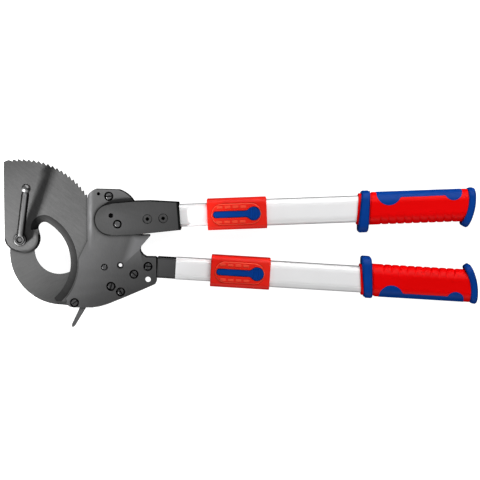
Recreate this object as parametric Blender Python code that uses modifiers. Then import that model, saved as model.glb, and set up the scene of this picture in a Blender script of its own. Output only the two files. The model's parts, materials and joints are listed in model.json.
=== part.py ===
"""Ratchet cable cutter with two telescopic handles, lying flat on its side.

Blender 4.5, metres, +Z up. X runs from the cutting head to the grips, and Y from the fixed handle to
the moving one. The origin is on the resting plane, below the axis of the blade's pivot bolt.
Outlines are drawn in the plane of the blades, from a datum point near the bolt, and the whole tool is
then shifted so that the bolt's axis stands over the origin.
"""

import math

import bmesh
import bpy
from mathutils import Matrix, Vector

MM = 0.001

# Layers through the head, counted from the shear plane where the two blades slide on each other.
SHEAR_HEIGHT = 20.0 * MM  # of the shear plane above the resting plane
GAP = 0.3 * MM  # between pieces that touch
SHEAR_GAP = 0.15 * MM  # half of the gap between the blades
BLADE_TOP = SHEAR_GAP + 6.5 * MM  # outer face of a blade
PLATE_LOW = BLADE_TOP + GAP
PLATE_TOP = PLATE_LOW + 4.0 * MM  # outer face of a frame plate
CHEEK_LOW = PLATE_TOP + GAP
CHEEK_TOP = CHEEK_LOW + 4.0 * MM  # outer face of the fork

# Moving blade, a toothed sector turning about the pivot bolt.
PIVOT = (2.9 * MM, 2.1 * MM)  # the bolt's axis, from the datum point
TOOTH_TIP_RADIUS = 106.2 * MM
TOOTH_DEPTH = 3.0 * MM
TOOTH_PITCH = 3.57  # degrees
FIRST_TOOTH = 98.1  # degrees, the crest nearest the free edge
TOOTH_COUNT = 42
STEEP_FLANK = 0.5  # degrees taken up by the flank that the pawls push on
CREST_GAP = 0.4 * MM  # between a pawl's nose and the crests
FREE_EDGE_X = -18.2 * MM
BORE_RADIUS = 6.2 * MM
BOSS_CENTRE = (9.0 * MM, 3.5 * MM)
BOSS_RADIUS = 20.2 * MM
BOSS_CHAMFER = 2.6 * MM
THROAT_CENTRE = (34.7 * MM, 16.8 * MM)
THROAT_RADIUS = 8.2 * MM
EDGE_CENTRE = (7.1 * MM, -29.1 * MM)
EDGE_RADIUS = 61.75 * MM
EDGE_START = 59.0  # degrees about EDGE_CENTRE, where the throat runs into the cutting edge
EDGE_END = -50.0
GRIND_WIDTH = 9.6 * MM  # of the ground face behind the cutting edge
GRIND_LAND = 0.8 * MM

# Clamp lever on the pivot bolt, with heights counted from the shear plane.
WASHER_RADIUS = 8.2 * MM
LEVER_REACH = 69.1 * MM
LEVER_ANGLE = 81.4
LEVER_HUB_LOW = BLADE_TOP + 2 * GAP + 1.5 * MM
LEVER_HUB_TOP = 15.0 * MM
ROD_LOW = 11.7 * MM  # middle of the rod at the hub
ROD_RADIUS = 4.2 * MM  # half its thickness
ROD_BREADTH = 1.32  # the rod is flattened: its breadth over its thickness
BALL_HEIGHT = 23.5 * MM
BALL_RADIUS = 6.3 * MM

# Fixed blade, a hook round the cable with a plate that lies inside the frame.
SEAT_CENTRE = (53.6 * MM, -11.9 * MM)
SEAT_RADIUS = 32.5 * MM  # the cable's seat, for cables up to 60 mm
HOOK_CENTRE = (58.0 * MM, -15.6 * MM)
HOOK_RADIUS = 70.1 * MM
EYE_RADIUS = 16.0 * MM

# Pins and screws of the frame.
FORK_PIVOT = (123.7 * MM, 34.3 * MM)
PAWL_PIN = (132.3 * MM, 23.0 * MM)
RELEASE_PIVOT = (114.4 * MM, -34.4 * MM)
SIGHT_HOLE = (135.5 * MM, -31.9 * MM)
HANG_HOLE = (172.1 * MM, -50.8 * MM)
BLIND_HOLE = (107.2 * MM, 62.8 * MM)
SCREWS = [
    (120.8 * MM, 59.6 * MM, 3.0),
    (153.5 * MM, -43.8 * MM, -39.0),
    (172.1 * MM, -33.5 * MM, -6.0),
    (123.0 * MM, -60.0 * MM, 75.0),
    (135.7 * MM, -67.4 * MM, -60.0),
    (74.4 * MM, -81.7 * MM, 40.0),
]  # x, y and the angle of the slot in degrees
SCREW_SHANK = 2.5 * MM
SCREW_HEAD = 4.2 * MM
SCREW_SINK = 6.1 * MM
SINK_DEPTH = 3.0 * MM
SLOT_WIDTH = 1.6 * MM
SLOT_DEPTH = 1.5 * MM
PIVOT_SHANK = 5.0 * MM
PAWL_PIN_RADIUS = 3.9 * MM
RELEASE_PIN_RADIUS = 3.2 * MM
FORK_STROKE = 28.0  # degrees that the moving handle opens
FORK_ROUNDING = 3.2 * MM
RIVETS = [(171.8 * MM, 29.7 * MM), (192.6 * MM, 30.6 * MM)]
RIVET_SHANK = 3.6 * MM
RIVET_HEAD = 6.0 * MM

# Handles. Each has its own frame: u along its axis from the end of the lock sleeve, v away from the
# other handle and z up.
UPPER = {"name": "upper", "origin": (250.7 * MM, 35.0 * MM), "turn": 2.1, "side": 1}
LOWER = {"name": "lower", "origin": (255.2 * MM, -39.3 * MM), "turn": -3.49, "side": -1}
INNER_TUBE = (30.0 * MM, 22.0 * MM, 8.5 * MM)  # height in v, thickness in z, corner radius
INNER_WALL = 1.5 * MM
OUTER_TUBE = (35.2 * MM, 26.4 * MM, 10.5 * MM)
OUTER_WALL = 1.75 * MM
INNER_TUBE_END = 325.0 * MM
OUTER_TUBE_START = 2.4 * MM
OUTER_TUBE_END = 336.0 * MM
DETENT_PITCH = 60.0 * MM
DETENT_COUNT = 5
DETENT_RADIUS = 2.8 * MM
SLEEVE = (41.2 * MM, 34.4 * MM, 6.5 * MM)
SLEEVE_LENGTH = 78.7 * MM
SLEEVE_LIP = 2.0 * MM
PAD_TOP = 18.6 * MM
BUTTON_TOP = 18.2 * MM
BUTTON_THICKNESS = 1.8 * MM
BUTTON_HEAD_U = 61.3 * MM
BUTTON_HEAD_RADIUS = 9.0 * MM
BUTTON_TAIL_U = 12.0 * MM
BUTTON_TAIL_RADIUS = 4.3 * MM
BUTTON_PIVOT_U = 36.0 * MM
TRUNNION_RADIUS = 1.2 * MM
LOCK_PIN_RADIUS = 2.1 * MM
GRIP = (43.0 * MM, 34.0 * MM, 14.0 * MM)
GRIP_NECK = (41.0 * MM, 32.4 * MM, 13.4 * MM)
GRIP_START = 215.2 * MM
NECK_START = 198.6 * MM
COLLAR_U = (201.2 * MM, 214.8 * MM)
COLLAR_V = (-31.0 * MM, 23.6 * MM)
COLLAR_CORNER = 11.0 * MM
COLLAR_LEAN = 0.106  # how far the collar leans along u for each unit of v
CAP_CENTRE = (280.1 * MM, 12.0 * MM)
CAP_RADII = (65.6 * MM, 74.8 * MM)
CAP_V = (-27.7 * MM, 23.4 * MM)
INLAY_DEPTH = 2.4 * MM

STEEL = ("steel_dark", (0.12, 0.12, 0.125, 1), 0.42, 0.9)
GROUND = ("steel_ground", (0.22, 0.22, 0.23, 1), 0.36, 0.9)
BRIGHT = ("steel_bright", (0.55, 0.55, 0.56, 1), 0.3, 1.0)
WHITE = ("white_coat", (0.86, 0.86, 0.87, 1), 0.35, 0.0)
RED = ("red_plastic", (0.80, 0.01, 0.01, 1), 0.45, 0.0)
BLUE = ("blue_plastic", (0.0, 0.07, 0.33, 1), 0.5, 0.0)


# ---------------------------------------------------------------- tools


def clear_scene():
    for thing in list(bpy.data.objects):
        bpy.data.objects.remove(thing)


def collection(name):
    made = bpy.data.collections.new(name)
    bpy.context.scene.collection.children.link(made)
    return made


def material(kind):
    name, colour, roughness, metallic = kind
    found = bpy.data.materials.get(name)
    if found:
        return found
    made = bpy.data.materials.new(name)
    made.use_nodes = True
    made.diffuse_color = colour
    shader = made.node_tree.nodes["Principled BSDF"]
    shader.inputs["Base Color"].default_value = colour
    shader.inputs["Roughness"].default_value = roughness
    shader.inputs["Metallic"].default_value = metallic
    return made


def place(obj, kind, parent=None):
    """Puts a piece into the object, or a cutter, whose kind is None, into the cutters."""
    if kind is None:
        CUTTERS.objects.link(obj)
        obj.hide_render = True
        obj.display_type = "WIRE"
    else:
        PARTS.objects.link(obj)
        obj.data.materials.append(material(kind))
    obj.parent = parent
    return obj


def from_bmesh(name, bm, kind, parent=None):
    bmesh.ops.recalc_face_normals(bm, faces=bm.faces)
    mesh = bpy.data.meshes.new(name)
    bm.to_mesh(mesh)
    bm.free()
    mesh.shade_smooth()
    mesh.set_sharp_from_angle(angle=math.radians(30))
    return place(bpy.data.objects.new(name, mesh), kind, parent)


def polar(centre, radius, degrees):
    angle = math.radians(degrees)
    return (centre[0] + radius * math.cos(angle), centre[1] + radius * math.sin(angle))


def arc(centre, radius, start, end, steps):
    """Points on an arc from start to end, in degrees, both ends included."""
    return [polar(centre, radius, start + (end - start) * i / steps) for i in range(steps + 1)]


def circle(centre, radius, points=20):
    return arc(centre, radius, 0, 360 - 360 / points, points - 1)


def rounded_box(across, up, corner, middle=0.0, steps=4):
    """A rectangle with round corners; middle shifts it along its second axis."""
    x, y = across / 2 - corner, up / 2 - corner
    points = []
    for sign_x, sign_y, start in ((1, 1, 0), (-1, 1, 90), (-1, -1, 180), (1, -1, 270)):
        centre = (sign_x * x, middle + sign_y * y)
        points += arc(centre, corner, start, start + 90, steps)
    return points


def flat(name, outline, low, high, kind, holes=(), parent=None):
    """A flat piece: a filled outline, with holes, from z low to z high."""
    curve = bpy.data.curves.new(name, "CURVE")
    curve.dimensions = "2D"
    curve.fill_mode = "BOTH"
    curve.extrude = (high - low) / 2
    for loop in (outline, *holes):
        spline = curve.splines.new("POLY")
        spline.points.add(len(loop) - 1)
        spline.use_cyclic_u = True
        for point, (x, y) in zip(spline.points, loop):
            point.co = (x, y, 0, 1)
    return solid(name, curve, kind, parent, Matrix.Translation((0, 0, (low + high) / 2)))


def solid(name, curve, kind, parent=None, move=Matrix.Identity(4)):
    """Makes a curve a mesh with welded caps, moved by a matrix in its parent's frame."""
    guide = bpy.data.objects.new(name + "_guide", curve)
    CUTTERS.objects.link(guide)
    graph = bpy.context.evaluated_depsgraph_get()
    mesh = bpy.data.meshes.new_from_object(guide.evaluated_get(graph))
    bpy.data.objects.remove(guide)
    bm = bmesh.new()
    bm.from_mesh(mesh)
    bpy.data.meshes.remove(mesh)
    bmesh.ops.remove_doubles(bm, verts=bm.verts, dist=1e-6)
    bm.transform(move)
    return from_bmesh(name, bm, kind, parent)


def along_axis(name, outline, start, end, kind, holes=(), parent=None, lean=0.0):
    """A piece of one cross-section (z, v) that runs along u from start to end. lean shears it."""
    made = flat(name, outline, start, end, kind, holes, parent)
    shear = Matrix.Identity(4)
    shear[2][1] = lean
    made.data.transform(Matrix.Rotation(math.radians(90), 4, "Y") @ shear)
    return made


def drums(name, sizes, kind, parent=None, sides=18):
    """Cylinders (x, y, radius, low, high) in one mesh."""
    bm = bmesh.new()
    for x, y, radius, low, high in sizes:
        bmesh.ops.create_cone(
            bm, cap_ends=True, segments=sides, radius1=radius, radius2=radius, depth=high - low,
            matrix=Matrix.Translation((x, y, (low + high) / 2)))
    return from_bmesh(name, bm, kind, parent)


def block(name, low, high, kind=None, parent=None, turn=0.0):
    """A box between two corners, turned about z at its middle by turn degrees."""
    low, high = Vector(low), Vector(high)
    size = Matrix.Diagonal((*(high - low), 1))
    bm = bmesh.new()
    bmesh.ops.create_cube(bm, size=1.0, matrix=size)
    bm.transform(Matrix.Translation((low + high) / 2) @ Matrix.Rotation(math.radians(turn), 4, "Z"))
    return from_bmesh(name, bm, kind, parent)


def turned(name, centre, profile, kind, parent=None, steps=20):
    """A piece turned about a vertical axis. profile lists (radius, z) from its top to its bottom."""
    mesh = bpy.data.meshes.new(name)
    points = [(radius, 0, z) for radius, z in profile]
    mesh.from_pydata(points, [(i, i + 1) for i in range(len(points) - 1)], [])
    made = place(bpy.data.objects.new(name, mesh), kind, parent)
    made.location = (*centre, 0)
    screw = made.modifiers.new("turn", "SCREW")
    screw.steps = screw.render_steps = steps
    screw.use_merge_vertices = True
    screw.merge_threshold = 1e-5
    screw.use_smooth_shade = False
    return made


def swept(name, centre, profile, start, sweep, steps, kind=None, parent=None):
    """A closed profile (radius, z) swept about a vertical axis through part of a turn."""
    bm = bmesh.new()
    turn = Matrix.Rotation(math.radians(start), 4, "Z")
    verts = [bm.verts.new(turn @ Vector((radius, 0, z))) for radius, z in profile]
    face = bm.faces.new(verts)
    bmesh.ops.spin(
        bm, geom=[*bm.verts, *bm.edges, face], cent=(0, 0, 0), axis=(0, 0, 1),
        angle=math.radians(sweep), steps=steps, use_duplicate=False)
    bm.transform(Matrix.Translation((*centre, 0)))
    return from_bmesh(name, bm, kind, parent)


def boolean(obj, other, operation="DIFFERENCE"):
    made = obj.modifiers.new(other.name, "BOOLEAN")
    made.operation = operation
    made.solver = "EXACT"
    made.object = other
    return obj


def bevel(obj, width, segments=1, angle=40.0):
    made = obj.modifiers.new("broken_edge", "BEVEL")
    made.width = width
    made.segments = segments
    made.limit_method = "ANGLE"
    made.angle_limit = math.radians(angle)
    made.use_clamp_overlap = True
    return obj


def spring(name, start, end, radius, wire, turns, kind, parent=None):
    """A coil spring between two points, with its wire's ends cut square."""
    start, end = Vector(start), Vector(end)
    axis = (end - start).normalized()
    per_turn = 8
    count = int(turns * per_turn) + 1
    curve = bpy.data.curves.new(name, "CURVE")
    curve.dimensions = "3D"
    curve.bevel_depth = wire / 2
    curve.bevel_resolution = 0
    curve.use_fill_caps = True
    spline = curve.splines.new("POLY")
    spline.points.add(count - 1)
    turn = axis.to_track_quat("Z", "Y").to_matrix()
    length = (end - start).length
    for i, point in enumerate(spline.points):
        angle = 2 * math.pi * i / per_turn
        climb = wire / 2 + (length - wire) * i / (count - 1)
        offset = turn @ Vector((radius * math.cos(angle), radius * math.sin(angle), climb))
        point.co = (*(start + offset), 1)
    return solid(name, curve, kind, parent)


def at(point, z):
    return (*point, z)


def shifted(point, *moves):
    """point plus any number of (direction, distance) pairs."""
    x, y = point
    for (dx, dy), distance in moves:
        x, y = x + dx * distance, y + dy * distance
    return (x, y)


def heading(start, end):
    """(unit vector from start to end, that vector turned a quarter turn to the left)."""
    dx, dy = end[0] - start[0], end[1] - start[1]
    length = math.hypot(dx, dy)
    return (dx / length, dy / length), (-dy / length, dx / length)


# ---------------------------------------------------------------- cutting head


def toothed_arc():
    """The blade's outer edge from its nose to its free edge: each tooth has a steep flank on the
    side that the pawls push, and a long back."""
    points = []
    root = TOOTH_TIP_RADIUS - TOOTH_DEPTH
    for i in reversed(range(TOOTH_COUNT)):
        crest = FIRST_TOOTH - i * TOOTH_PITCH
        points.append(polar(PIVOT, TOOTH_TIP_RADIUS, crest))
        points.append(polar(PIVOT, TOOTH_TIP_RADIUS - 0.15 * MM, crest + 0.2))
        if i:
            points.append(polar(PIVOT, root, crest + STEEP_FLANK + 0.2))
    return points


def chamfer_boss(blade):
    """Breaks the front edge round the blade's boss."""
    def on_rim(edge):
        low, high = sorted(math.dist(vert.co.xy, BOSS_CENTRE) for vert in edge.verts)
        at_top = min(vert.co.z for vert in edge.verts) > BLADE_TOP - 0.1 * MM
        below = max(vert.co.y for vert in edge.verts) < 11.5 * MM
        return at_top and below and low > 19 * MM and high < 29 * MM and edge.calc_face_angle(0) > 1

    bm = bmesh.new()
    bm.from_mesh(blade.data)
    bmesh.ops.dissolve_limit(bm, angle_limit=math.radians(1), verts=bm.verts, edges=bm.edges)
    rim = [edge for edge in bm.edges if on_rim(edge)]
    bmesh.ops.bevel(bm, geom=rim, offset=BOSS_CHAMFER, segments=1, affect="EDGES")
    bm.to_mesh(blade.data)
    bm.free()


def moving_blade():
    nose = (49.4 * MM, -80.2 * MM)
    heel = (64.5 * MM, -80.9 * MM)
    corner = (FREE_EDGE_X, 104.9 * MM)
    outline = [
        *arc(THROAT_CENTRE, THROAT_RADIUS, 207.4, EDGE_START, 12),
        *arc(EDGE_CENTRE, EDGE_RADIUS, EDGE_START, EDGE_END, 30)[1:],
        nose,
        heel,
        *toothed_arc(),
        corner,
        (FREE_EDGE_X, 1.0 * MM),
        (-16.6 * MM, -4.5 * MM),
        (-10.8 * MM, -11.0 * MM),
        (-2.6 * MM, -14.6 * MM),
        *arc(BOSS_CENTRE, BOSS_RADIUS, 262, 382, 14),
    ]
    blade = flat("moving_blade", outline, SHEAR_GAP, BLADE_TOP, GROUND, [circle(PIVOT, BORE_RADIUS)])
    chamfer_boss(blade)
    low, high = SHEAR_GAP + GRIND_LAND, BLADE_TOP + 1 * MM
    slope = GRIND_WIDTH / (BLADE_TOP - low)
    reach = slope * (high - low)

    def grind(radius):
        return [(radius - 3 * MM, low), (radius, low), (radius + reach, high), (radius - 3 * MM, high)]

    edge = swept("edge_grind", EDGE_CENTRE, grind(EDGE_RADIUS), -64, 64 + EDGE_START, 32)
    throat = swept("throat_grind", THROAT_CENTRE, grind(THROAT_RADIUS), EDGE_START - 2, 130, 16)
    boolean(boolean(blade, edge), throat)
    return blade


def frame_outline():
    """The shared outline of the two frame plates."""
    arm = 35.2 * MM  # round shoulder about the fork's pivot, inside the fork's swing
    return [
        (92.3 * MM, 0.5 * MM),
        (92.3 * MM, 56.8 * MM),
        (93.2 * MM, 61.0 * MM),
        (95.5 * MM, 64.4 * MM),
        (99.4 * MM, 67.3 * MM),
        (103.2 * MM, 68.8 * MM),
        *arc(FORK_PIVOT, arm, 73, -42, 16),
        (162.0 * MM, 7.8 * MM),
        (173.8 * MM, 8.0 * MM),
        (174.8 * MM, 6.4 * MM),
        (162.6 * MM, -7.6 * MM),
        (161.6 * MM, -11.0 * MM),
        (162.4 * MM, -14.6 * MM),
        (165.4 * MM, -18.6 * MM),
        (169.7 * MM, -21.3 * MM),
        (182.2 * MM, -21.5 * MM),
        (183.0 * MM, -22.3 * MM),
        (183.0 * MM, -54.4 * MM),
        (181.6 * MM, -57.0 * MM),
        (169.0 * MM, -62.6 * MM),
        (141.9 * MM, -74.2 * MM),
        (118.2 * MM, -83.7 * MM),
        (108.0 * MM, -86.7 * MM),
        (98.0 * MM, -88.3 * MM),
        (73.0 * MM, -88.3 * MM),
        (67.6 * MM, -87.0 * MM),
        (63.8 * MM, -83.2 * MM),
        (64.4 * MM, -79.6 * MM),
        *arc(EDGE_CENTRE, EDGE_RADIUS + GRIND_WIDTH + 2.0 * MM, -40, 4, 10),
    ]


def pin_slot(radius):
    """The arc-shaped slot in which the pawl's pin travels about the fork's pivot."""
    reach = math.hypot(PAWL_PIN[0] - FORK_PIVOT[0], PAWL_PIN[1] - FORK_PIVOT[1])
    start = math.degrees(math.atan2(PAWL_PIN[1] - FORK_PIVOT[1], PAWL_PIN[0] - FORK_PIVOT[0]))
    end = start + FORK_STROKE
    return [
        *arc(FORK_PIVOT, reach + radius, start, end, 6),
        *arc(polar(FORK_PIVOT, reach, end), radius, end, end + 180, 6)[1:-1],
        *arc(FORK_PIVOT, reach - radius, end, start, 6),
        *arc(polar(FORK_PIVOT, reach, start), radius, start + 180, start + 360, 6)[1:-1],
    ]


def frame_holes(screws=SCREWS, sight_margin=0.0):
    """Holes through a frame plate or the fixed blade. The sight hole widens towards the back."""
    return [
        circle(FORK_PIVOT, PIVOT_SHANK + GAP),
        pin_slot(PAWL_PIN_RADIUS + 2 * GAP),
        circle(RELEASE_PIVOT, RELEASE_PIN_RADIUS + GAP),
        circle(SIGHT_HOLE, 2.4 * MM + sight_margin, 16),
        *[circle((x, y), SCREW_SHANK + GAP, 12) for x, y, _ in screws],
    ]


def frame_plates():
    hang = circle(HANG_HOLE, 3.7 * MM)
    blind = circle(BLIND_HOLE, 2.2 * MM, 12)
    front = flat(
        "front_plate", frame_outline(), PLATE_LOW, PLATE_TOP, STEEL, [*frame_holes(), hang, blind])
    sinks = [(x, y, SCREW_SINK, PLATE_TOP - SINK_DEPTH, PLATE_TOP + 1 * MM) for x, y, _ in SCREWS]
    sinks.append((*RELEASE_PIVOT, 4.5 * MM, PLATE_TOP - 1.8 * MM, PLATE_TOP + 1 * MM))
    sinks.append((*SIGHT_HOLE, 4.4 * MM, PLATE_TOP - 1.6 * MM, PLATE_TOP + 1 * MM))
    boolean(front, drums("front_sinks", sinks, None))
    flat("rear_plate", frame_outline(), -PLATE_TOP, -PLATE_LOW, STEEL, [
        *frame_holes(sight_margin=2.5 * MM), circle(HANG_HOLE, 6.0 * MM)])


def fixed_blade():
    """The hook and, in one piece with it, the plate behind the moving blade inside the frame."""
    outline = [
        *arc(PIVOT, EYE_RADIUS, 50, 222, 16),
        *arc(HOOK_CENTRE, HOOK_RADIUS, 176, 270, 20),
        (66.0 * MM, -87.0 * MM),
        (73.0 * MM, -88.0 * MM),
        (98.0 * MM, -88.0 * MM),
        (108.0 * MM, -86.4 * MM),
        (118.2 * MM, -83.4 * MM),
        (140.0 * MM, -74.6 * MM),
        (140.0 * MM, -20.0 * MM),
        (161.0 * MM, -12.0 * MM),
        (162.0 * MM, 7.0 * MM),
        *arc(FORK_PIVOT, 34.6 * MM, -42, 73, 12),
        (104.0 * MM, 68.4 * MM),
        (95.0 * MM, 62.0 * MM),
        (92.6 * MM, 4.0 * MM),
        *arc(SEAT_CENTRE, SEAT_RADIUS, 14, -194, 36),
    ]
    holes = [
        circle(PIVOT, BORE_RADIUS), *frame_holes([SCREWS[0], *SCREWS[3:]], 2.5 * MM)]
    blade = flat("fixed_blade", outline, -BLADE_TOP, -SHEAR_GAP, GROUND, holes)
    low, high = -BLADE_TOP - 1 * MM, -SHEAR_GAP - GRIND_LAND
    width = 6.0 * MM
    profile = [
        (SEAT_RADIUS - 3 * MM, low), (SEAT_RADIUS + width, low),
        (SEAT_RADIUS, high), (SEAT_RADIUS - 3 * MM, high)]
    boolean(blade, swept("seat_grind", SEAT_CENTRE, profile, -182, 150, 30))


def spacers():
    """Blocks that hold the front plate clear of the fixed blade."""
    top = [
        (104.0 * MM, 45.5 * MM), (112.0 * MM, 43.0 * MM), (149.0 * MM, 43.0 * MM),
        (150.0 * MM, 52.0 * MM), (143.0 * MM, 60.6 * MM), (133.0 * MM, 66.6 * MM),
        (104.0 * MM, 67.6 * MM), (99.5 * MM, 65.0 * MM), (98.0 * MM, 56.0 * MM)]
    bottom = [
        (118.0 * MM, -81.0 * MM), (120.0 * MM, -81.8 * MM), (139.4 * MM, -73.8 * MM),
        (139.4 * MM, -60.0 * MM), (130.0 * MM, -53.0 * MM), (118.0 * MM, -53.0 * MM)]
    for name, outline, screws in (("spacer_top", top, SCREWS[:1]), ("spacer_bottom", bottom, SCREWS[3:5])):
        holes = [circle((x, y), SCREW_SHANK + GAP, 12) for x, y, _ in screws]
        low, high = -SHEAR_GAP + GAP, BLADE_TOP
        flat(name, outline, low, high, STEEL, holes)


def frame_screws():
    """Slotted screws through the frame, with their heads sunk in the front plate."""
    head_low = PLATE_TOP - SINK_DEPTH + GAP
    head_top = PLATE_TOP - GAP
    for number, (x, y, slant) in enumerate(SCREWS, 1):
        name = f"frame_screw_{number}"
        screw = turned(name, (x, y), [
            (0, head_top), (SCREW_HEAD - 0.4 * MM, head_top), (SCREW_HEAD, head_top - 0.4 * MM),
            (SCREW_HEAD, head_low), (SCREW_SHANK, head_low), (SCREW_SHANK, GAP - PLATE_TOP),
            (0, GAP - PLATE_TOP)], BRIGHT, steps=16)
        half, side = 1.2 * SCREW_HEAD, SLOT_WIDTH / 2
        slot = block(
            name + "_slot", (x - half, y - side, head_top - SLOT_DEPTH),
            (x + half, y + side, head_top + 1 * MM), turn=slant)
        boolean(screw, slot)


def fork_pivot():
    """Fixed in the frame; the fork turns on its two stubs."""
    end = CHEEK_LOW + 0.8 * MM
    stub = 2.8 * MM
    turned("fork_pivot_pin", FORK_PIVOT, [
        (0, end), (stub, end), (stub, PLATE_TOP), (PIVOT_SHANK, PLATE_TOP), (PIVOT_SHANK, -PLATE_TOP),
        (stub, -PLATE_TOP), (stub, -end), (0, -end)], STEEL)


def plain_pin(name, centre, radius, end, kind):
    chamfer = 0.5 * MM
    turned(name, centre, [
        (0, end), (radius - chamfer, end), (radius, end - chamfer),
        (radius, chamfer - end), (radius - chamfer, -end), (0, -end)], kind)


def blade_pivot():
    """Bolt, washers and closed nut that join the two blades. The nut's end is what the head rests on."""
    shank = BORE_RADIUS - GAP
    top = LEVER_HUB_TOP - 2.5 * MM
    turned("blade_pivot_bolt", PIVOT, [
        (0, top), (4.0 * MM, top), (4.0 * MM, LEVER_HUB_LOW - GAP),
        (shank, LEVER_HUB_LOW - GAP), (shank, -13.0 * MM), (0, -13.0 * MM)], BRIGHT)
    for name, low in (("front_washer", BLADE_TOP + GAP), ("rear_washer", -BLADE_TOP - GAP - 1.5 * MM)):
        high = low + 1.5 * MM
        flat(name, circle(PIVOT, WASHER_RADIUS, 28), low, high, BRIGHT, [circle(PIVOT, BORE_RADIUS)])
    top = -BLADE_TOP - 2 * GAP - 1.5 * MM
    flat("blade_pivot_nut", circle(PIVOT, 12.5 * MM, 6), -SHEAR_HEIGHT, top, STEEL)
    nut = PARTS.objects["blade_pivot_nut"]
    bevel(nut, 1.0 * MM)
    boolean(nut, drums("nut_bore", [(*PIVOT, BORE_RADIUS, -13.6 * MM, 0)], None))


# ---------------------------------------------------------------- clamp lever


def clamp_lever():
    """A ball-ended lever that turns on the bolt and clamps it."""
    top, roof = LEVER_HUB_TOP, LEVER_HUB_TOP - 2.2 * MM
    hub = turned("clamp_lever", PIVOT, [
        (0, top), (5.4 * MM, top), (5.8 * MM, top - 0.6 * MM), (5.8 * MM, top - 1.6 * MM),
        (8.2 * MM, top - 2.4 * MM), (8.6 * MM, LEVER_HUB_LOW), (4.3 * MM, LEVER_HUB_LOW),
        (4.3 * MM, roof), (0, roof)], STEEL)
    start = Vector(at(polar(PIVOT, 6.4 * MM, LEVER_ANGLE), ROD_LOW))
    end = Vector(at(polar(PIVOT, LEVER_REACH, LEVER_ANGLE), BALL_HEIGHT))
    along = (end - start).normalized()
    length = (end - start).length
    turn = along.to_track_quat("Z", "Y").to_matrix().to_4x4()
    arm = bmesh.new()
    for radius, breadth, low, high in (
        (ROD_RADIUS, ROD_BREADTH, 0, length - BALL_RADIUS - GAP), (2.4 * MM, 1, length - 8 * MM, length),
    ):
        middle = Matrix.Translation(start + along * (low + high) / 2)
        bmesh.ops.create_cone(
            arm, cap_ends=True, segments=12, radius1=radius, radius2=radius, depth=high - low,
            matrix=middle @ turn @ Matrix.Diagonal((breadth, 1, 1, 1)))
    arm = from_bmesh("lever_arm", arm, None)
    boolean(arm, drums("arm_seat", [(*PIVOT, WASHER_RADIUS + 2 * MM, 0, LEVER_HUB_LOW)], None))
    boolean(hub, arm, "UNION")
    ball = bmesh.new()
    bmesh.ops.create_uvsphere(ball, u_segments=16, v_segments=10, radius=BALL_RADIUS)
    bmesh.ops.transform(ball, matrix=Matrix.Translation(end) @ turn, verts=ball.verts)
    ball = from_bmesh("clamp_ball", ball, STEEL)
    bore = bmesh.new()
    bmesh.ops.create_cone(
        bore, cap_ends=True, segments=12, radius1=2.75 * MM, radius2=2.75 * MM, depth=2 * BALL_RADIUS,
        matrix=Matrix.Translation(end - along * (BALL_RADIUS - 0.5 * MM)) @ turn)
    boolean(ball, from_bmesh("ball_bore", bore, None))


# ---------------------------------------------------------------- ratchet


def drive_pawl():
    """Carried by the fork's eccentric pin, it pushes the teeth as the handles close."""
    tip = polar(PIVOT, TOOTH_TIP_RADIUS + CREST_GAP, -8)
    back = polar(PIVOT, TOOTH_TIP_RADIUS + CREST_GAP + 5 * MM, -8.4)
    hub = 6.8 * MM
    _, left = heading(PAWL_PIN, tip)
    start = math.degrees(math.atan2(left[1], left[0]))
    outline = [*arc(PAWL_PIN, hub, start, start + 180, 14), tip, back]
    hole = circle(PAWL_PIN, PAWL_PIN_RADIUS + GAP)
    flat("drive_pawl", outline, SHEAR_GAP, BLADE_TOP, GROUND, [hole])


def holding_pawl():
    """Keeps the blade from running back, and carries the release arm that sticks out below."""
    tip = polar(PIVOT, TOOTH_TIP_RADIUS + CREST_GAP, -30)
    back = polar(PIVOT, TOOTH_TIP_RADIUS + CREST_GAP + 5 * MM, -30)
    end = (71.2 * MM, -114.2 * MM)
    along, left = heading(RELEASE_PIVOT, end)

    def arm(distance, offset):
        return shifted(RELEASE_PIVOT, (along, distance), (left, offset))

    hub = 7.2 * MM
    start = math.degrees(math.atan2(left[1], left[0]))
    outline = [
        *arc(RELEASE_PIVOT, hub, start, start + 165, 12),
        tip,
        back,
        arm(33 * MM, -4.2 * MM),
        arm(58 * MM, -3.9 * MM),
        arm(88 * MM, -2.3 * MM),
        arm(91 * MM, -1.1 * MM),
        arm(91 * MM, 1.1 * MM),
        arm(88 * MM, 2.3 * MM),
        arm(58 * MM, 3.9 * MM),
        arm(30 * MM, 4.6 * MM),
    ]
    hole = circle(RELEASE_PIVOT, RELEASE_PIN_RADIUS + GAP)
    flat("holding_pawl", outline, SHEAR_GAP, BLADE_TOP, STEEL, [hole])


def ratchet_springs():
    middle = (SHEAR_GAP + BLADE_TOP) / 2
    spring(
        "release_spring", at((107.2 * MM, -62.5 * MM), middle), at((117.6 * MM, -62.5 * MM), middle),
        2.4 * MM, 0.8 * MM, 5, BRIGHT)
    post = (146.0 * MM, -8.0 * MM)
    drums("spring_post", [(*post, 3.0 * MM, SHEAR_GAP, BLADE_TOP)], STEEL)
    spring(
        "drive_spring", at((125.6 * MM, -2.0 * MM), middle), at((142.7 * MM, -7.2 * MM), middle),
        2.4 * MM, 0.8 * MM, 7, BRIGHT)


# ---------------------------------------------------------------- handle roots


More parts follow.
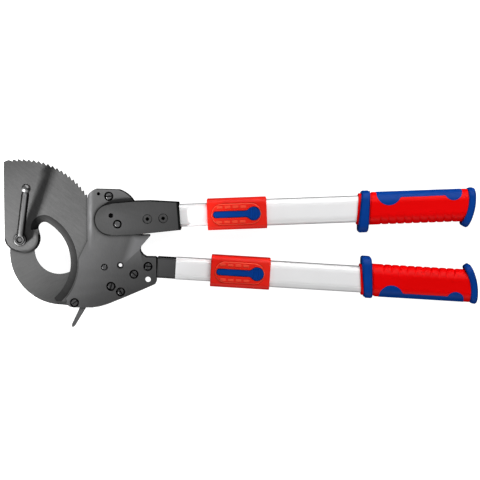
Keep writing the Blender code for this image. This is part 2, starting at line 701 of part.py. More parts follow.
def fork():
    """The moving handle's fork: two cheeks over the frame, and a socket for the tube."""
    outline = [
        *arc((122.4 * MM, 28.9 * MM), 21.0 * MM, 94, 268, 18),
        (161.0 * MM, 9.4 * MM),
        (216.0 * MM, 15.2 * MM),
        (213.2 * MM, 51.2 * MM),
        (174.4 * MM, 53.3 * MM),
        (155.0 * MM, 52.8 * MM),
    ]
    piece = flat("fork", outline, -CHEEK_TOP, CHEEK_TOP, STEEL)
    bevel(piece, FORK_ROUNDING, 4)
    slot = block("fork_slot", (90 * MM, -20 * MM, -CHEEK_LOW), (163 * MM, 80 * MM, CHEEK_LOW))
    boolean(piece, slot)
    height, thick, corner = (size + 2 * GAP for size in INNER_TUBE)
    section = rounded_box(thick, height, corner - GAP)
    socket = along_axis("fork_socket", section, -95 * MM, -20 * MM, None, parent=FRAMES["upper"])
    boolean(piece, socket)
    end = CHEEK_TOP + 1 * MM
    holes = [
        (*FORK_PIVOT, 3.1 * MM, -end, end),
        (*PAWL_PIN, PAWL_PIN_RADIUS + GAP, -end, end),
        (*RIVETS[0], RIVET_SHANK + GAP, -end, end),
        (*RIVETS[1], RIVET_SHANK + GAP, -end, end)]
    boolean(piece, drums("fork_holes", holes, None))
    sinks = [
        (*PAWL_PIN, 5.9 * MM, CHEEK_TOP - 2.2 * MM, end),
        (*RIVETS[0], RIVET_HEAD + GAP, CHEEK_TOP - 1.6 * MM, end),
        (*RIVETS[1], RIVET_HEAD + GAP, CHEEK_TOP - 1.6 * MM, end)]
    boolean(piece, drums("fork_sinks", sinks, None))


def fork_rivets():
    """Hollow-headed rivets through the fork and the tube."""
    top = CHEEK_TOP - 0.4 * MM
    neck = CHEEK_TOP - 1.3 * MM
    for number, centre in enumerate(RIVETS, 1):
        turned(f"fork_rivet_{number}", centre, [
            (0, top - 4 * MM), (2.3 * MM, top - 4 * MM), (2.3 * MM, top), (RIVET_HEAD - 0.3 * MM, top),
            (RIVET_HEAD, top - 0.3 * MM), (RIVET_HEAD, neck), (RIVET_SHANK, neck),
            (RIVET_SHANK, GAP - CHEEK_TOP), (0, GAP - CHEEK_TOP)], STEEL, steps=16)


def tang():
    """The fixed handle's root: a tongue screwed between the frame plates, a neck and a plug."""
    tongue_outline = [
        (140.6 * MM, -24.0 * MM), (166.0 * MM, -22.4 * MM), (190.0 * MM, -22.4 * MM),
        (190.0 * MM, -44.0 * MM), (166.0 * MM, -44.8 * MM), (163.6 * MM, -51.0 * MM),
        (140.6 * MM, -51.0 * MM)]
    holes = [circle((x, y), SCREW_SHANK + GAP, 12) for x, y, _ in SCREWS[1:3]]
    piece = flat("handle_tang", tongue_outline, -BLADE_TOP, BLADE_TOP, STEEL, holes)
    start, shoulder = -70.9 * MM, -47.0 * MM
    parent = FRAMES["lower"]
    section = rounded_box(19.6 * MM, 28.0 * MM, 3.0 * MM, steps=2)
    neck = along_axis("tang_neck", section, start, shoulder, None, parent=parent)
    section = rounded_box(18.2 * MM, 26.2 * MM, 7.0 * MM)
    plug = along_axis("tang_plug", section, shoulder - 5 * MM, 12 * MM, None, parent=parent)
    boolean(boolean(piece, neck, "UNION"), plug, "UNION")


# ---------------------------------------------------------------- telescopic handles


def shrunk(section, wall):
    height, thick, corner = section
    return rounded_box(thick - 2 * wall, height - 2 * wall, corner - wall)


def section_of(section):
    height, thick, corner = section
    return rounded_box(thick, height, corner)


def inner_tube(handle, start):
    name, parent = handle["name"], FRAMES[handle["name"]]
    tube = along_axis(
        name + "_inner_tube", section_of(INNER_TUBE), start, INNER_TUBE_END, WHITE,
        [shrunk(INNER_TUBE, INNER_WALL)], parent)
    side = INNER_TUBE[1] / 2
    holes = [
        (BUTTON_TAIL_U + i * DETENT_PITCH, 0, DETENT_RADIUS, side - 4 * MM, side + 4 * MM)
        for i in range(DETENT_COUNT)]
    boolean(tube, drums(name + "_detents", holes, None, parent, 12))
    return tube


def outer_tube(handle):
    name, parent = handle["name"], FRAMES[handle["name"]]
    tube = along_axis(
        name + "_outer_tube", section_of(OUTER_TUBE), OUTER_TUBE_START, OUTER_TUBE_END, WHITE,
        [shrunk(OUTER_TUBE, OUTER_WALL)], parent)
    side = OUTER_TUBE[1] / 2
    hole = [(BUTTON_TAIL_U, 0, LOCK_PIN_RADIUS + 2 * GAP, side - 4 * MM, side + 4 * MM)]
    boolean(tube, drums(name + "_pin_hole", hole, None, parent, 16))


def keyhole(grow=0.0):
    """The lock button's outline: a round head on a long round-ended tail."""
    head, tail = BUTTON_HEAD_RADIUS + grow, BUTTON_TAIL_RADIUS + grow
    lean = math.degrees(math.asin(tail / head))
    return [
        *arc((BUTTON_HEAD_U, 0), head, -180 + lean, 180 - lean, 20),
        *arc((BUTTON_TAIL_U, 0), tail, 90, 270, 8),
    ]


def lock_sleeve(handle):
    name, parent = handle["name"], FRAMES[handle["name"]]
    lip = (INNER_TUBE[0] + 0.8 * MM, INNER_TUBE[1] + 0.8 * MM, INNER_TUBE[2])
    sleeve = along_axis(
        name + "_lock_sleeve", section_of(SLEEVE), 0, SLEEVE_LENGTH, RED, [section_of(lip)], parent)
    pad = [
        *arc((57.0 * MM, 0), 13.8 * MM, -90, 90, 16),
        *arc((18.5 * MM, 0), 13.2 * MM, 90, 270, 16),
    ]
    raised = flat(name + "_pad", pad, SLEEVE[1] / 2 - 1 * MM, PAD_TOP, None, parent=parent)
    bore = (OUTER_TUBE[0] + 2 * GAP, OUTER_TUBE[1] + 2 * GAP, OUTER_TUBE[2] + GAP)
    hollow = along_axis(
        name + "_sleeve_bore", section_of(bore), SLEEVE_LIP, SLEEVE_LENGTH + 5 * MM, None, parent=parent)
    low = INNER_TUBE[1] / 2 + 1 * MM
    key = flat(name + "_keyhole", keyhole(0.4 * MM), low, PAD_TOP + 2 * MM, None, parent=parent)
    height = BUTTON_TOP - BUTTON_THICKNESS / 2
    pocket = block(
        name + "_pocket", (BUTTON_PIVOT_U - 2 * MM, -7.2 * MM, height - 2 * MM),
        (BUTTON_PIVOT_U + 2 * MM, 7.2 * MM, PAD_TOP + 2 * MM), None, parent)
    boolean(sleeve, raised, "UNION")
    for cutter in (hollow, key, pocket):
        boolean(sleeve, cutter)


def lock_button(handle):
    """A rocker on two trunnions: pressing its head lifts the lock pin under its tail."""
    name, parent = handle["name"], FRAMES[handle["name"]]
    low = BUTTON_TOP - BUTTON_THICKNESS
    button = flat(name + "_lock_button", keyhole(), low, BUTTON_TOP, BLUE, parent=parent)
    axle = bmesh.new()
    height = (low + BUTTON_TOP) / 2 - 0.3 * MM
    bmesh.ops.create_cone(
        axle, cap_ends=True, segments=12, radius1=TRUNNION_RADIUS, radius2=TRUNNION_RADIUS, depth=13.4 * MM,
        matrix=Matrix.Translation((BUTTON_PIVOT_U, 0, height)) @ Matrix.Rotation(math.radians(90), 4, "X"))
    boolean(button, from_bmesh(name + "_trunnions", axle, None, parent), "UNION")
    tip = INNER_TUBE[1] / 2 + GAP
    drums(name + "_lock_pin", [(BUTTON_TAIL_U, 0, LOCK_PIN_RADIUS, tip, low - GAP)], BRIGHT, parent, 16)
    foot = OUTER_TUBE[1] / 2 + GAP
    spring(
        name + "_lock_spring", (BUTTON_HEAD_U, 0, foot), (BUTTON_HEAD_U, 0, low - GAP / 2),
        4.0 * MM, 0.6 * MM, 3, BRIGHT, parent)


def inlay_region(side, grow=0.0):
    """The soft inlay's outline on the grip: a strip along the outer side with two round lobes."""
    step = 14.4 * MM - grow
    wide = (240.4 * MM, 20.5 * MM, 16.2 * MM + grow)
    small = (325.5 * MM, 19.5 * MM, 11.7 * MM + grow)
    fall = math.degrees(math.asin((wide[1] - step) / wide[2]))
    rise = math.degrees(math.asin((small[1] - step) / small[2]))
    points = [
        *arc(wide[:2], wide[2], 180, 360 - fall, 14),
        *arc(small[:2], small[2], 180 + rise, 360, 12),
        (small[0] + small[2], 30 * MM),
        (wide[0] - wide[2], 30 * MM),
    ]
    return [(u, side * v) for u, v in points]


def cap_space(side, radius):
    """The region beyond the end cap's inner face."""
    points = [*arc(CAP_CENTRE, radius, -48, 24, 16), (400 * MM, 40 * MM), (400 * MM, -50 * MM)]
    return [(u, side * v) for u, v in points]


def grip(handle):
    name, side, parent = handle["name"], handle["side"], FRAMES[handle["name"]]
    bore = (OUTER_TUBE[0] + 2 * GAP, OUTER_TUBE[1] + 2 * GAP, OUTER_TUBE[2] + GAP)
    body = along_axis(
        name + "_grip", section_of(GRIP), GRIP_START, 355 * MM, RED, [section_of(bore)], parent,
        side * COLLAR_LEAN)
    neck = along_axis(
        name + "_grip_neck", section_of(GRIP_NECK), NECK_START, GRIP_START + 4 * MM, None,
        [section_of(bore)], parent, side * COLLAR_LEAN)
    boolean(body, neck, "UNION")
    end = flat(
        name + "_grip_end", cap_space(side, CAP_RADII[0] - GAP), -30 * MM, 30 * MM, None, parent=parent)
    boolean(body, end)
    core = (GRIP[0] - 2 * INLAY_DEPTH, GRIP[1] - 2 * INLAY_DEPTH, GRIP[2] - INLAY_DEPTH)
    shell_core = (core[0] - 2 * GAP, core[1] - 2 * GAP, core[2] - GAP)
    outside = (GRIP[0] + 4 * MM, GRIP[1] + 4 * MM, GRIP[2] + 2 * MM)
    pocket = along_axis(
        name + "_inlay_pocket", section_of(outside), GRIP_START + 6 * MM, 360 * MM, None,
        [section_of(shell_core)], parent)
    region = flat(
        name + "_inlay_region", inlay_region(side, GAP), -30 * MM, 30 * MM, None, parent=parent)
    boolean(pocket, region, "INTERSECT")
    boolean(body, pocket)
    inlay = along_axis(
        name + "_grip_inlay", section_of(GRIP), GRIP_START + 6.5 * MM, 350 * MM, BLUE,
        [section_of(core)], parent)
    inlay_shape = flat(
        name + "_inlay_shape", inlay_region(side), -30 * MM, 30 * MM, None, parent=parent)
    boolean(inlay, inlay_shape, "INTERSECT")


def collar(handle):
    """The finger guard at the head end of the grip, leaning along the handle."""
    name, side, parent = handle["name"], handle["side"], FRAMES[handle["name"]]
    low, high = COLLAR_V
    outline = rounded_box(
        2 * SHEAR_HEIGHT, high - low, COLLAR_CORNER, side * (low + high) / 2)
    hole = (GRIP_NECK[0] + 2 * GAP, GRIP_NECK[1] + 2 * GAP, GRIP_NECK[2] + GAP)
    piece = along_axis(
        name + "_grip_collar", outline, *COLLAR_U, BLUE, [section_of(hole)], parent, side * COLLAR_LEAN)
    return piece


def end_cap(handle):
    name, side, parent = handle["name"], handle["side"], FRAMES[handle["name"]]
    inner, outer = CAP_RADII
    band = [*arc(CAP_CENTRE, outer, -36, 10.5, 16), *arc(CAP_CENTRE, inner, 10.5, -36, 16)]
    band = [(u, side * v) for u, v in band]
    cap = flat(name + "_grip_cap", band, -SHEAR_HEIGHT, SHEAR_HEIGHT, BLUE, parent=parent)
    low, high = CAP_V
    outline = rounded_box(2 * SHEAR_HEIGHT, high - low, COLLAR_CORNER, side * (low + high) / 2)
    limit = along_axis(name + "_cap_limit", outline, 300 * MM, 370 * MM, None, parent=parent)
    boolean(cap, limit, "INTERSECT")
    height, thick, corner = OUTER_TUBE
    inside = rounded_box(
        thick - 2 * OUTER_WALL - 2 * GAP, height - 2 * OUTER_WALL - 2 * GAP, corner - OUTER_WALL - GAP)
    plug = along_axis(name + "_cap_plug", inside, 328 * MM, 349 * MM, None, parent=parent)
    boolean(cap, plug, "UNION")


def handle_frame(handle):
    """An empty at the handle's own origin, on its axis, from which its pieces are placed."""
    empty = bpy.data.objects.new(handle["name"] + "_handle_frame", None)
    PARTS.objects.link(empty)
    empty.location = at(handle["origin"], 0)
    empty.rotation_euler.z = math.radians(handle["turn"])
    empty.parent = ROOT
    return empty


# ---------------------------------------------------------------- assembly

clear_scene()
PARTS = collection("cable_cutter")
CUTTERS = collection("cutters")
ROOT = bpy.data.objects.new("shear_plane", None)
PARTS.objects.link(ROOT)
FRAMES = {handle["name"]: handle_frame(handle) for handle in (UPPER, LOWER)}

moving_blade()
fixed_blade()
frame_plates()
spacers()
frame_screws()
fork_pivot()
plain_pin("pawl_pin", PAWL_PIN, PAWL_PIN_RADIUS, CHEEK_TOP - GAP, BRIGHT)
plain_pin("release_pin", RELEASE_PIVOT, RELEASE_PIN_RADIUS, PLATE_TOP - GAP, BRIGHT)
blade_pivot()
clamp_lever()
drive_pawl()
holding_pawl()
ratchet_springs()
fork()
fork_rivets()
tang()

upper_tube = inner_tube(UPPER, -87.0 * MM)
rivet_cuts = [(x, y, RIVET_SHANK + GAP, -20 * MM, 20 * MM) for x, y in RIVETS]
boolean(upper_tube, drums("tube_rivet_holes", rivet_cuts, None))
inner_tube(LOWER, -46.7 * MM)
for handle in (UPPER, LOWER):
    outer_tube(handle)
    lock_sleeve(handle)
    lock_button(handle)
    grip(handle)
    collar(handle)
    end_cap(handle)

for thing in [*PARTS.objects, *CUTTERS.objects]:
    if thing.parent is None and thing is not ROOT:
        thing.parent = ROOT
ROOT.location = (-PIVOT[0], -PIVOT[1], SHEAR_HEIGHT)
bpy.context.view_layer.update()
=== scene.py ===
"""Looks of the ratchet cable cutter: moulded grips and lock sleeves, ground and burnished steel, and a
plain studio. Lengths are in metres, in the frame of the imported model: the tool lies flat on z = 0.
"""
import json
import math

import bmesh
import bpy
from mathutils import Matrix, Vector

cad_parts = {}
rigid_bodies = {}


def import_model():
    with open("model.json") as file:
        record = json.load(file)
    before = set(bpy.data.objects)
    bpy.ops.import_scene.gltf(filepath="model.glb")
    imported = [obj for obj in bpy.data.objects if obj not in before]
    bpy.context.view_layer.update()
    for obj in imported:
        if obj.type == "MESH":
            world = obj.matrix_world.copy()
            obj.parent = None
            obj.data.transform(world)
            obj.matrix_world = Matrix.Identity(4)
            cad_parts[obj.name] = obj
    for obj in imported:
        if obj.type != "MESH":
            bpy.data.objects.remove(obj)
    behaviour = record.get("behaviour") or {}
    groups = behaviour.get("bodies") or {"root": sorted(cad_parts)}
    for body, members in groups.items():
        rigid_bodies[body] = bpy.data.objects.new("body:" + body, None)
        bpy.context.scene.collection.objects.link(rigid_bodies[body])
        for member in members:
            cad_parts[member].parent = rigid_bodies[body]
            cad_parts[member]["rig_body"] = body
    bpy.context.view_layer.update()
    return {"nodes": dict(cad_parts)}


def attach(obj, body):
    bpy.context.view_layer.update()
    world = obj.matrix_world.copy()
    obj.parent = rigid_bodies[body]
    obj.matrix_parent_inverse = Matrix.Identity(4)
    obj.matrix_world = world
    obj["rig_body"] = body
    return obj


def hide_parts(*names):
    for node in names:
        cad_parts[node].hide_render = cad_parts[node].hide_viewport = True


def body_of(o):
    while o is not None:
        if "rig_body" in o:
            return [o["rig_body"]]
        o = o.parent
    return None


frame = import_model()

MM = 0.001
SHEAR_HEIGHT = 20 * MM  # of the blades' sliding plane above the floor
# Where the painted highlight along the head's front edge runs, and how wide it is.
HIGHLIGHT_X = 93.5 * MM
HIGHLIGHT_WIDTH = 2.6 * MM
# Heights where the painted highlight on a sleeve's pad rim and ticks begins.
PAD_RIM = 37.3 * MM  # height above the floor where the rim of a sleeve's pad starts
TICK_RIM = 38.8 * MM  # and where the ticks on it stand out
# Centre of the blade's boss, round which the painted rim shade lies.
BOSS_CENTRE = (6.1 * MM, 1.4 * MM)
# Where the fork's painted end shade lies: its round end, its end along x, and the end's lean.
FORK_NOSE = (119.5 * MM, 26.8 * MM)  # centre of the fork's round end
FORK_END = 214.1 * MM  # along x, where the fork stops on the tool's axis
FORK_END_LEAN = 0.078  # how far the fork's end leans along x for each unit of y

# Each handle's own frame: u along its axis, v away from the other handle, z up.
HANDLES = {
    "upper": {"origin": (247.8 * MM, 32.9 * MM), "turn": 2.1, "side": 1},
    "lower": {"origin": (252.3 * MM, -41.4 * MM), "turn": -3.49, "side": -1},
}


# ---------------------------------------------------------------- materials


class Finish:
    """A material under construction: a Principled shader and the nodes that feed it."""

    def __init__(self, name, roughness, metallic=0.0, **sockets):
        self.material = bpy.data.materials.new(name)
        self.material.use_nodes = True
        self.tree = self.material.node_tree
        self.shader = self.tree.nodes["Principled BSDF"]
        self.shader.inputs["Roughness"].default_value = roughness
        self.shader.inputs["Metallic"].default_value = metallic
        for socket, value in sockets.items():
            self.shader.inputs[socket.replace("_", " ")].default_value = value
        self.place = self.node("ShaderNodeTexCoord").outputs["Object"]

    def node(self, kind, **settings):
        made = self.tree.nodes.new(kind)
        for key, value in settings.items():
            setattr(made, key, value)
        return made

    def link(self, start, end):
        self.tree.links.new(start, end)

    def coordinate(self, axis):
        """The surface point's x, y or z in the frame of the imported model."""
        parts = self.node("ShaderNodeSeparateXYZ")
        self.link(self.place, parts.inputs["Vector"])
        return parts.outputs[axis]

    def noise(self, scale, detail=3.0, stretch=(1, 1, 1), turn=0.0, rough=0.5):
        """Noise from 0 to 1; scale counts features to the metre, stretch multiplies it by axis."""
        spot = self.node("ShaderNodeMapping")
        spot.inputs["Rotation"].default_value = (0, 0, math.radians(turn))
        self.link(self.place, spot.inputs["Vector"])
        squeeze = self.node("ShaderNodeMapping")
        squeeze.inputs["Scale"].default_value = stretch
        self.link(spot.outputs["Vector"], squeeze.inputs["Vector"])
        made = self.node("ShaderNodeTexNoise")
        made.inputs["Scale"].default_value = scale
        made.inputs["Detail"].default_value = detail
        made.inputs["Roughness"].default_value = rough
        self.link(squeeze.outputs["Vector"], made.inputs["Vector"])
        return made.outputs["Fac"]

    def ramp(self, value, *stops):
        """A colour ramp; stops are (position, colour or grey)."""
        made = self.node("ShaderNodeValToRGB")
        ramp = made.color_ramp
        while len(ramp.elements) < len(stops):
            ramp.elements.new(0.5)
        for element, (position, colour) in zip(ramp.elements, stops):
            element.position = position
            grey = isinstance(colour, (int, float))
            element.color = (colour, colour, colour, 1) if grey else (*colour, 1)
        self.link(value, made.inputs["Fac"])
        return made.outputs["Color"]

    def range(self, value, low, high, start=0.3, end=0.7):
        made = self.node("ShaderNodeMapRange")
        for socket, number in (
            ("From Min", start), ("From Max", end), ("To Min", low), ("To Max", high),
        ):
            made.inputs[socket].default_value = number
        self.link(value, made.inputs["Value"])
        return made.outputs["Result"]

    def mix(self, factor, first, second, blend="MIX"):
        made = self.node("ShaderNodeMix", data_type="RGBA", blend_type=blend)
        for value, socket in ((factor, 0), (first, 6), (second, 7)):
            if isinstance(value, (int, float, tuple)):
                made.inputs[socket].default_value = value
            else:
                self.link(value, made.inputs[socket])
        return made.outputs[2]

    def math(self, operation, first, second=0.0):
        made = self.node("ShaderNodeMath", operation=operation)
        for value, socket in ((first, 0), (second, 1)):
            if isinstance(value, (int, float)):
                made.inputs[socket].default_value = value
            else:
                self.link(value, made.inputs[socket])
        return made.outputs[0]

    def bump(self, height, distance, strength=1.0):
        made = self.node("ShaderNodeBump")
        made.inputs["Distance"].default_value = distance
        made.inputs["Strength"].default_value = strength
        self.link(height, made.inputs["Height"])
        return made.outputs["Normal"]

    def recess_shade(self, colour, distance, depth=1.0):
        """Painted shade: darkens a colour by ambient occlusion in recesses and gaps."""
        made = self.node("ShaderNodeAmbientOcclusion", samples=8)
        made.inputs["Distance"].default_value = distance
        shade = self.range(made.outputs["AO"], 1 - depth, 1.0, 0.42, 0.9)
        return self.mix(1.0, colour, shade, "MULTIPLY")

    def slope(self, level=0.985, steep=0.93):
        """0 on level faces, 1 on faces that slope as chamfers and ground bevels do."""
        facing = self.node("ShaderNodeNewGeometry").outputs["True Normal"]
        parts = self.node("ShaderNodeSeparateXYZ")
        self.link(facing, parts.inputs["Vector"])
        return self.range(self.math("ABSOLUTE", parts.outputs["Z"]), 1.0, 0.0, steep, level)

    def highlight_band(self):
        """Painted highlight: bright streaks along the head's front edge."""
        streaks = self.noise(330, 3, (1.0, 0.12, 1.0), 4, 0.7)
        offset = self.math("SUBTRACT", self.coordinate("X"), HIGHLIGHT_X)
        offset = self.math("DIVIDE", offset, HIGHLIGHT_WIDTH)
        near = self.math("EXPONENT", self.math("MULTIPLY", self.math("MULTIPLY", offset, offset), -1.0))
        upper = self.range(self.coordinate("Y"), 0.0, 1.0, -15 * MM, 15 * MM)
        band = self.math("MULTIPLY", self.math("MULTIPLY", near, upper), self.range(streaks, 0.1, 1.0))
        return self.math("MULTIPLY", band, 0.75)

    def rim_arc(self, centre, towards, near, far, spread=(0.1, 0.5)):
        """1 on the part of a round rim that lies towards a direction in degrees. near and far are the
        radii between which it sets in and fades out."""
        offset = self.node("ShaderNodeVectorMath", operation="SUBTRACT")
        self.link(self.place, offset.inputs[0])
        offset.inputs[1].default_value = (*centre, 0)
        level = self.node("ShaderNodeVectorMath", operation="MULTIPLY")
        self.link(offset.outputs["Vector"], level.inputs[0])
        level.inputs[1].default_value = (1, 1, 0)
        radius = self.node("ShaderNodeVectorMath", operation="LENGTH")
        self.link(level.outputs["Vector"], radius.inputs[0])
        aside = self.node("ShaderNodeVectorMath", operation="DOT_PRODUCT")
        self.link(level.outputs["Vector"], aside.inputs[0])
        aside.inputs[1].default_value = (*polar((0, 0), 1, towards), 0)
        angle = self.math("DIVIDE", aside.outputs["Value"], radius.outputs["Value"])
        inner = self.range(radius.outputs["Value"], 0.0, 1.0, *near)
        outer = self.range(radius.outputs["Value"], 1.0, 0.0, *far)
        side = self.range(angle, 0.0, 1.0, *spread)
        return self.math("MULTIPLY", self.math("MULTIPLY", inner, outer), side)

    def wear(self, low=0.52, high=0.62):
        """1 on outer edges that handling has worn bright, 0 elsewhere."""
        sharp = self.node("ShaderNodeNewGeometry").outputs["Pointiness"]
        return self.range(sharp, 0.0, 1.0, low, high)

    def done(self, colour=None, roughness=None, normal=None):
        for value, socket in ((colour, "Base Color"), (roughness, "Roughness"), (normal, "Normal")):
            if value is not None:
                self.link(value, self.shader.inputs[socket])
        return self.material


def ground_steel(name, level, turn, boss=False):
    """Blades: grey steel with the marks of surface grinding running aslant, dark bevels, and black painted
    shade on steep faces. level is the grey of its flat faces, and boss adds black painted shade on the rim
    round the pivot, lower right."""
    steel = Finish(name, 0.5)
    marks = steel.noise(60, 5, (1.0, 11.0, 1.0), turn, 0.65)
    lines = steel.noise(300, 2, (1.0, 16.0, 1.0), turn, 0.7)
    clouds = steel.noise(22, 3)
    tone = steel.ramp(marks, (0.36, [0.7 * level] * 3), (0.66, [1.3 * level] * 3))
    tone = steel.mix(0.45, tone, steel.ramp(lines, (0.32, 0.4 * level), (0.7, 1.7 * level)))
    tone = steel.mix(0.25, tone, steel.ramp(clouds, (0.35, 0.7 * level), (0.65, 1.2 * level)))
    slope = steel.slope(0.995, 0.965)
    tone = steel.mix(slope, tone, steel.ramp(marks, (0.3, 0.013), (0.7, 0.019)))
    # Painted shade: steep chamfers and sides turn black.
    tone = steel.mix(steel.slope(0.88, 0.8), tone, (0.004, 0.004, 0.004, 1))
    if boss:
        # Painted shade: a black arc on the lower-right rim of the boss round the pivot.
        rim = steel.rim_arc(BOSS_CENTRE, -35, (14.0 * MM, 16.6 * MM), (20.6 * MM, 22.0 * MM))
        tone = steel.mix(rim, tone, (0.008, 0.008, 0.008, 1))
    steel.link(steel.range(slope, 0.3, 0.0, 0, 1), steel.shader.inputs["Metallic"])
    steel.link(steel.range(slope, 0.5, 0.03, 0, 1), steel.shader.inputs["Specular IOR Level"])
    rough = steel.math("ADD", steel.range(lines, 0.46, 0.6), steel.math("MULTIPLY", slope, 0.2))
    # Painted shade in recesses and gaps darkens the blade's colour.
    return steel.done(steel.recess_shade(tone, 4 * MM, 0.85), rough, steel.bump(lines, 0.04 * MM, 0.35))


def dark_steel(name, dark, light, roughness=0.42, edge_highlight=False, end_shade=False):
    """Burnished plates and levers: near black, fine grain, with black painted shade on their rounded edges.
    The first flag paints a highlight of bright streaks along the head's front edge, and the second paints
    black shade on the fork's end and round its nose."""
    steel = Finish(name, roughness)
    grain = steel.noise(900, 3, (1, 1, 1), 0, 0.65)
    brushed = steel.noise(240, 3, (12.0, 1.0, 1.0), -12, 0.6)
    clouds = steel.noise(16, 3)
    tone = steel.ramp(clouds, (0.3, dark), (0.72, light))
    tone = steel.mix(0.28, tone, steel.ramp(brushed, (0.3, dark * 0.7), (0.7, light * 1.35)))
    if edge_highlight:
        # Painted highlight: bright streaks along the head's front edge.
        tone = steel.mix(steel.highlight_band(), tone, (0.2, 0.2, 0.205, 1))
    tone = steel.mix(steel.wear(), tone, (light * 2.2, light * 2.2, light * 2.25, 1))
    if end_shade:
        # Painted shade: the fork's end and the rim round its nose turn black.
        lean = steel.math("MULTIPLY", steel.coordinate("Y"), FORK_END_LEAN)
        reach = steel.math("ADD", steel.coordinate("X"), lean)
        end = steel.range(reach, 0.0, 1.0, FORK_END - 3.4 * MM, FORK_END - 2.8 * MM)
        nose = steel.rim_arc(FORK_NOSE, 180, (19.3 * MM, 19.9 * MM), (22 * MM, 23 * MM), (-0.1, 0.1))
        tone = steel.mix(steel.math("MAXIMUM", end, nose), tone, (0.004, 0.004, 0.004, 1))
    # Painted shade: rounded edges and sides turn black.
    slope = steel.slope(0.97, 0.84)
    tone = steel.mix(slope, tone, (0.004, 0.004, 0.004, 1))
    steel.link(steel.range(slope, 0.3, 0.0, 0, 1), steel.shader.inputs["Metallic"])
    steel.link(steel.range(slope, 0.2, 0.0, 0, 1), steel.shader.inputs["Specular IOR Level"])
    # Painted shade in recesses and gaps.
    tone = steel.recess_shade(tone, 6 * MM, 0.97)
    rough = steel.range(grain, roughness - 0.07, roughness + 0.08)
    return steel.done(tone, rough, steel.bump(grain, 0.03 * MM, 0.3))


def screw_steel():
    steel = Finish("screw_steel", 0.42, 0.5)
    marks = steel.noise(700, 3, (1, 5, 1), 20)
    tone = steel.ramp(marks, (0.3, (0.045, 0.045, 0.046)), (0.7, (0.09, 0.09, 0.092)))
    # Painted shade in recesses and gaps.
    tone = steel.recess_shade(tone, 2.5 * MM, 0.95)
    return steel.done(tone, steel.range(marks, 0.28, 0.44), steel.bump(marks, 0.03 * MM, 0.4))


def polished_steel():
    steel = Finish("polished_steel", 0.3, 0.9)
    marks = steel.noise(500, 3)
    tone = steel.ramp(marks, (0.3, 0.1), (0.7, 0.16))
    # Painted shade in recesses and gaps.
    return steel.done(steel.recess_shade(tone, 6 * MM, 0.9), steel.range(marks, 0.3, 0.42))


def white_coat():
    """Powder-coated tube: bright white with a faint orange-peel surface, and grey painted shade on its steep
    sides.
    """
    coat = Finish("white_coat", 0.34, 0.0, Coat_Weight=0.25, Coat_Roughness=0.15)
    peel = coat.noise(700, 2, (1, 1, 1), 0, 0.5)
    clouds = coat.noise(18, 2)
    tone = coat.ramp(clouds, (0.3, (0.88, 0.88, 0.885)), (0.7, (0.92, 0.92, 0.925)))
    # Painted shade: steep sides turn grey.
    tone = coat.mix(coat.slope(0.55, 0.1), tone, (0.3, 0.3, 0.305, 1))
    return coat.done(tone, coat.range(peel, 0.28, 0.42), coat.bump(peel, 0.03 * MM, 0.25))


def moulded(name, dark, light, roughness, grain_depth, gloss, raised_highlight=None):
    """Moulded plastic with a fine spark-eroded grain and slight flow variation. The last argument paints a
    lighter highlight on the raised rim of a pad and on its ticks.
    """
    plastic = Finish(name, roughness, 0.0, IOR=1.48, Specular_IOR_Level=gloss)
    grain = plastic.noise(1500, 2, (1, 1, 1), 0, 0.5)
    flow = plastic.noise(35, 3, (0.4, 1, 1))
    tone = plastic.ramp(flow, (0.3, dark), (0.7, light))
    scuffed = tuple(min(1.0, 1.15 * part + 0.01) for part in light)
    tone = plastic.mix(plastic.math("MULTIPLY", plastic.wear(0.53, 0.66), 0.35), tone, (*scuffed, 1))
    # Painted highlight: a lighter colour on the pad's raised rim and on the tops of the ticks.
    if raised_highlight:
        height = plastic.coordinate("Z")
        high = plastic.range(height, 0.0, 1.0, PAD_RIM - 0.1 * MM, PAD_RIM + 0.1 * MM)
        rim = plastic.math("MULTIPLY", high, plastic.slope(0.985, 0.85))
        tick = plastic.range(height, 0.0, 0.45, TICK_RIM, TICK_RIM + 0.1 * MM)
        tone = plastic.mix(plastic.math("MAXIMUM", rim, tick), tone, (*raised_highlight, 1))
    rough = plastic.range(grain, roughness - 0.05, roughness + 0.07)
    # Painted shade in recesses and gaps.
    return plastic.done(plastic.recess_shade(tone, 1.6 * MM, 0.6), rough, plastic.bump(grain, grain_depth, 0.35))


def floor_paper():
    paper = Finish("floor_paper", 0.9, 0.0, Emission_Color=(1, 1, 1, 1), Emission_Strength=0.98)
    paper.shader.inputs["Specular IOR Level"].default_value = 0.1
    fibre = paper.noise(250, 3)
    tone = paper.ramp(fibre, (0.3, 0.36), (0.7, 0.4))
    return paper.done(tone, None, paper.bump(fibre, 0.02 * MM, 0.1))


# ---------------------------------------------------------------- mesh tools

SHARP_ANGLE = 38.0  # degrees, above which an edge of a CAD node is broken

def polar(centre, radius, degrees):
    angle = math.radians(degrees)
    return (centre[0] + radius * math.cos(angle), centre[1] + radius * math.sin(angle))


def arc(centre, radius, start, end, steps):
    return [polar(centre, radius, start + (end - start) * i / steps) for i in range(steps + 1)]


def rounded_box(across, up, corner, centre=(0.0, 0.0), steps=8):
    """A rectangle with round corners, counter-clockwise from its right side."""
    x, y = across / 2 - corner, up / 2 - corner
    points = []
    for sign_x, sign_y, start in ((1, 1, 0), (-1, 1, 90), (-1, -1, 180), (1, -1, 270)):
        spot = (centre[0] + sign_x * x, centre[1] + sign_y * y)
        points += arc(spot, corner, start, start + 90, steps)
    return points


def smoothstep(low, high, value):
    t = min(1.0, max(0.0, (value - low) / (high - low)))
    return t * t * (3 - 2 * t)


def as_object(name, mesh):
    made = bpy.data.objects.new(name, mesh)
    bpy.context.scene.collection.objects.link(made)
    return made


